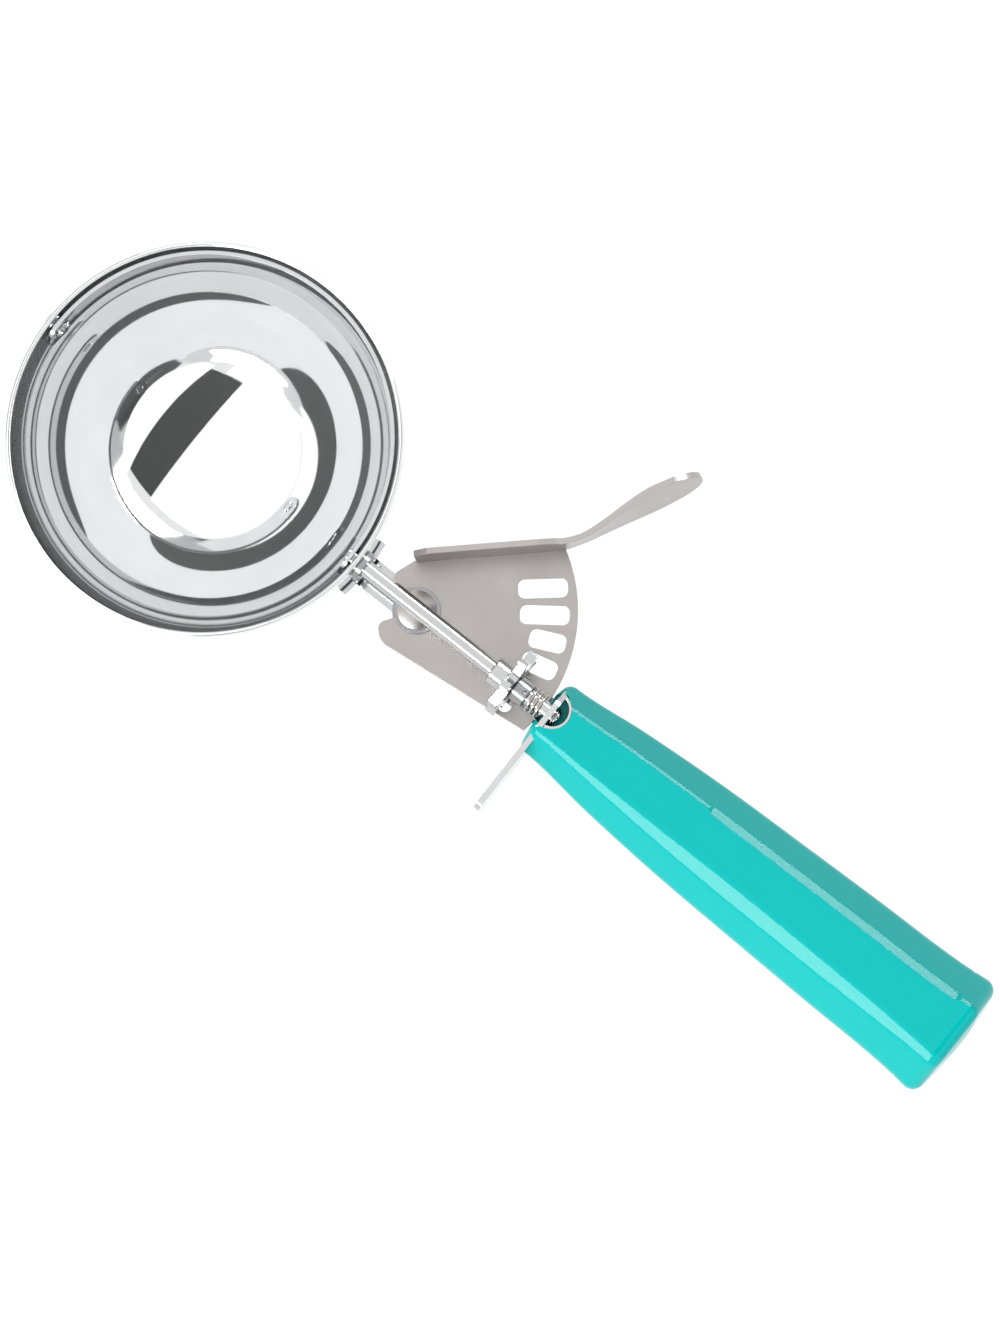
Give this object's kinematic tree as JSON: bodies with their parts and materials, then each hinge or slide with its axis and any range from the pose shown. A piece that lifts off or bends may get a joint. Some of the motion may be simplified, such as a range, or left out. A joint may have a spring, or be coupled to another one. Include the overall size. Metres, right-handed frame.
{
  "type": "lever ice cream scoop",
  "caption": "Round-bowled ice cream scoop: a thumb lever with a gear sector turns a pinion and sweeps a curved blade round the bowl.",
  "frame": {"origin": "centre of the bowl's half ball, on the spindle axis", "axes": "+X along the spindle to the handle, +Y to the thumb lever, +Z out of the bowl's mouth"},
  "size_m": [0.2339, 0.0961, 0.0483],
  "materials": {
    "polished_steel": "mirror polished stainless steel",
    "satin_steel": "tumbled satin stainless steel",
    "bright_steel": "bright drawn stainless steel",
    "spring_steel": "drawn spring wire",
    "bearing_steel": "turned stainless steel",
    "teal_plastic": "glossy moulded plastic"
  },
  "bodies": {
    "frame": {"bowl": "polished_steel", "bowl_foot": "polished_steel", "shank": "bright_steel", "front_bush": "bearing_steel", "tip_pivot": "polished_steel", "tip_washer": "bearing_steel", "sector_rivet": "bright_steel", "pivot_washer": "bearing_steel", "pivot_spacer": "bearing_steel", "finger_rest": "polished_steel", "handle": "teal_plastic", "notch_liner": "polished_steel", "return_spring": "spring_steel"},
    "lever": {"sector_lever": "satin_steel"},
    "sweeper": {"spindle": "bright_steel", "pinion_hub": "bright_steel", "pinion": "bright_steel", "spring_collar": "bearing_steel", "spindle_clip": "bearing_steel", "blade": "polished_steel"}
  },
  "joints": [
    {"name": "lever_press", "type": "hinge", "parent": "frame", "child": "lever", "pos_m": [0.054, 0, 0], "axis": [0, 0, -1], "range_deg": [0, 43], "stiffness_Nm_per_rad": 0.3, "springref_deg": -28.65},
    {"name": "blade_sweep", "type": "hinge", "parent": "frame", "child": "sweeper", "pos_m": [0, 0, 0], "axis": [-1, 0, 0], "range_deg": [0, 169]}
  ],
  "couplings": [
    {"joint": "blade_sweep", "follows": "lever_press", "ratio": 3.913}
  ]
}
